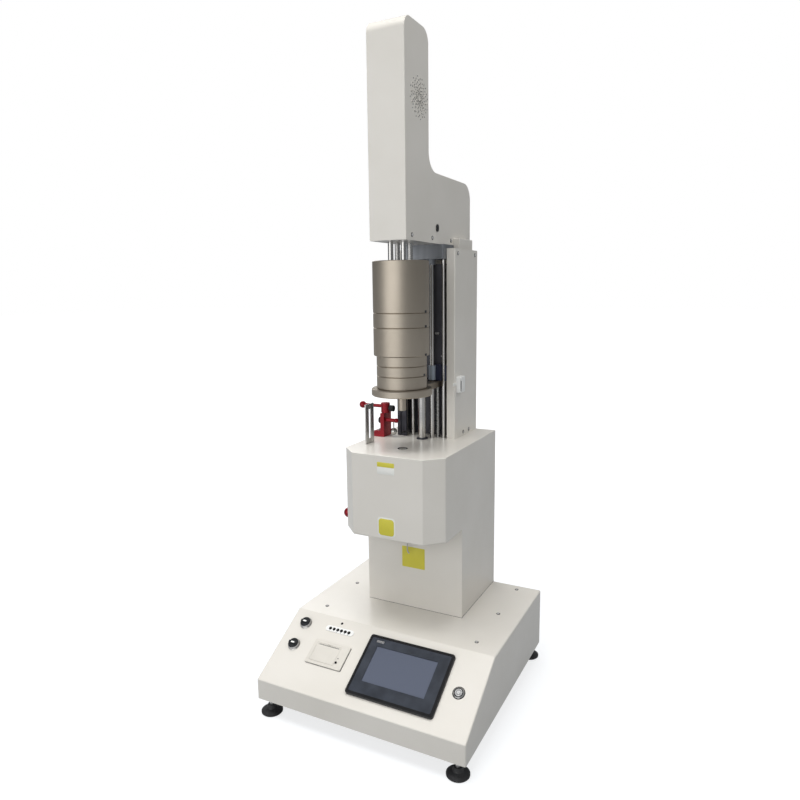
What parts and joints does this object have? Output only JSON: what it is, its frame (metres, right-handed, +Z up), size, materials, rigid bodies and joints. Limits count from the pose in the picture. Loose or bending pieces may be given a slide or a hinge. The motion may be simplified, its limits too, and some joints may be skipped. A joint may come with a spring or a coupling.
{
  "type": "melt flow index tester",
  "caption": "Bench melt flow tester: wedge base with sloping controls, heated barrel in a tower, and a column that lifts stacked test weights into a tall head.",
  "frame": {"origin": "on the floor, under the middle of the overall outline", "axes": "+Z up, +X to the operator's right, the operator stands at -Y"},
  "size_m": [0.501, 0.5429, 1.472],
  "materials": {
    "light_paint": "fine satin powder coat",
    "bare_pan": "zinc-plated sheet",
    "foot_black": "moulded black",
    "plated_steel": "zinc-plated",
    "electronics": "board and metal case",
    "black_plastic": "moulded black",
    "hard_steel": "ground steel",
    "furnace_jacket": "jacket in fibre blanket",
    "red_anodised": "red anodised",
    "motor_case": "black case",
    "black_anodised": "black anodised",
    "grey_anodised": "clear anodised",
    "navy_anodised": "dark blue anodised",
    "chrome_rod": "hard chrome",
    "screw_steel": "oiled screw",
    "stainless": "brushed stainless",
    "weight_nickel": "satin nickel, turned",
    "panel_glass": "dark display glass",
    "cream_plastic": "moulded cream",
    "white_plastic": "moulded white",
    "dark_lens": "dark lens",
    "paper": "thermal paper"
  },
  "bodies": {
    "frame": {"base_cover": "light_paint", "floor_pan": "bare_pan", "foot_pads": "foot_black", "foot_studs": "plated_steel", "control_electronics": "electronics", "mains_inlet": "black_plastic", "tower_housing": "light_paint", "top_plate": "light_paint", "tower_back_panel": "light_paint", "barrel": "hard_steel", "heater_jacket": "furnace_jacket", "die": "hard_steel", "cutter_motor": "motor_case", "column_channel": "light_paint", "column_inner_panel": "black_anodised", "limit_rail": "black_anodised", "top_block": "grey_anodised", "column_rods": "chrome_rod", "head_chassis": "light_paint", "door_catch": "white_plastic", "head_cover": "light_paint", "head_grommet": "black_plastic", "lift_cylinder": "motor_case", "fan_frame": "black_plastic", "push_rod_gland": "black_anodised", "lift_motor": "motor_case", "panel_bezel": "black_plastic", "panel_glass": "panel_glass", "printer_body": "cream_plastic", "lamp_plate": "white_plastic", "lamp_lenses": "dark_lens", "switch_collars": "stainless", "clamp_post": "red_anodised", "gauge_bar": "stainless", "screws": "plated_steel"},
    "lift": {"lift_table": "weight_nickel", "screw_carriage": "navy_anodised", "push_rod": "chrome_rod", "drive_screw": "screw_steel"},
    "weight_1": {"weight_1": "weight_nickel"},
    "weight_2": {"weight_2": "weight_nickel"},
    "weight_3": {"weight_3": "weight_nickel"},
    "weight_4": {"weight_4": "weight_nickel"},
    "weight_5": {"weight_5": "weight_nickel"},
    "weight_6": {"weight_6": "weight_nickel", "hanger_frame": "chrome_rod"},
    "upper_selector": {"upper_selector_knob": "black_plastic"},
    "lower_selector": {"lower_selector_knob": "black_plastic"},
    "push_button": {"push_button": "stainless"},
    "printer_door": {"printer_door": "cream_plastic"},
    "feed_button": {"feed_button": "dark_lens"},
    "paper_roll": {"paper_roll": "paper"},
    "die_slide": {"die_slide": "red_anodised"},
    "cutter": {"cutter_arm": "hard_steel"},
    "fan": {"fan_rotor": "black_plastic"},
    "swing_arm": {"swing_arm": "red_anodised"},
    "lock_knob": {"lock_knob": "black_plastic"},
    "thumb_knob": {"thumb_knob": "black_plastic"},
    "ball_lever": {"ball_lever": "red_anodised", "lever_ball": "chrome_rod"}
  },
  "joints": [
    {"name": "lift_travel", "type": "slide", "parent": "frame", "child": "lift", "axis": [0, 0, 1], "range_m": [-0.08, 0]},
    {"name": "weight_1_lift", "type": "slide", "parent": "lift", "child": "weight_1", "axis": [0, 0, 1], "range_m": [0, 0.005]},
    {"name": "weight_2_lift", "type": "slide", "parent": "weight_1", "child": "weight_2", "axis": [0, 0, 1], "range_m": [0, 0.005]},
    {"name": "weight_3_lift", "type": "slide", "parent": "weight_2", "child": "weight_3", "axis": [0, 0, 1], "range_m": [0, 0.005]},
    {"name": "weight_4_lift", "type": "slide", "parent": "weight_3", "child": "weight_4", "axis": [0, 0, 1], "range_m": [0, 0.005]},
    {"name": "weight_5_lift", "type": "slide", "parent": "weight_4", "child": "weight_5", "axis": [0, 0, 1], "range_m": [0, 0.005]},
    {"name": "weight_6_lift", "type": "slide", "parent": "weight_5", "child": "weight_6", "axis": [0, 0, 1], "range_m": [0, 0.005]},
    {"name": "upper_selector_turn", "type": "hinge", "parent": "frame", "child": "upper_selector", "pos_m": [-0.209, -0.13068, 0.16139], "axis": [0, -0.4967, 0.8679], "range_deg": [-45, 45]},
    {"name": "lower_selector_turn", "type": "hinge", "parent": "frame", "child": "lower_selector", "pos_m": [-0.209, -0.1806, 0.13282], "axis": [0, -0.4967, 0.8679], "range_deg": [-45, 45]},
    {"name": "button_press", "type": "slide", "parent": "frame", "child": "push_button", "axis": [0, 0.4967, -0.8679], "range_m": [0, 0.0024], "stiffness_N_per_m": 800, "springref_m": -0.002},
    {"name": "door_swing", "type": "hinge", "parent": "frame", "child": "printer_door", "pos_m": [-0.1145, -0.20154, 0.12314], "axis": [1, 0, 0], "range_deg": [0, 90]},
    {"name": "feed_press", "type": "slide", "parent": "frame", "child": "feed_button", "axis": [0, 0.4967, -0.8679], "range_m": [0, 0.0012], "stiffness_N_per_m": 500, "springref_m": -0.001},
    {"name": "roll_turn", "type": "hinge", "parent": "frame", "child": "paper_roll", "pos_m": [-0.1145, -0.17098, 0.11101], "axis": [1, 0, 0], "continuous": true},
    {"name": "die_release", "type": "slide", "parent": "frame", "child": "die_slide", "axis": [-1, 0, 0], "range_m": [0, 0.022]},
    {"name": "cutter_sweep", "type": "hinge", "parent": "frame", "child": "cutter", "pos_m": [-0.01, 0.01045, 0.3948], "axis": [0, 0, 1], "range_deg": [-100, 0]},
    {"name": "fan_spin", "type": "hinge", "parent": "frame", "child": "fan", "pos_m": [0.032, -0.01955, 1.328], "axis": [1, 0, 0], "continuous": true},
    {"name": "arm_swing", "type": "hinge", "parent": "frame", "child": "swing_arm", "pos_m": [-0.0995, 0.07695, 0.6433], "axis": [0, 0, 1], "range_deg": [-20, 60]},
    {"name": "lock_knob_turn", "type": "hinge", "parent": "swing_arm", "child": "lock_knob", "pos_m": [-0.0995, 0.07695, 0.6541], "axis": [1, 0, 0], "range_deg": [0, 180]},
    {"name": "thumb_knob_turn", "type": "hinge", "parent": "frame", "child": "thumb_knob", "pos_m": [-0.0995, 0.07695, 0.623], "axis": [1, 0, 0], "range_deg": [0, 180]},
    {"name": "lever_swing", "type": "hinge", "parent": "frame", "child": "ball_lever", "pos_m": [-0.0995, 0.06895, 0.626], "axis": [1, 0, 0], "range_deg": [-110, 0]}
  ]
}
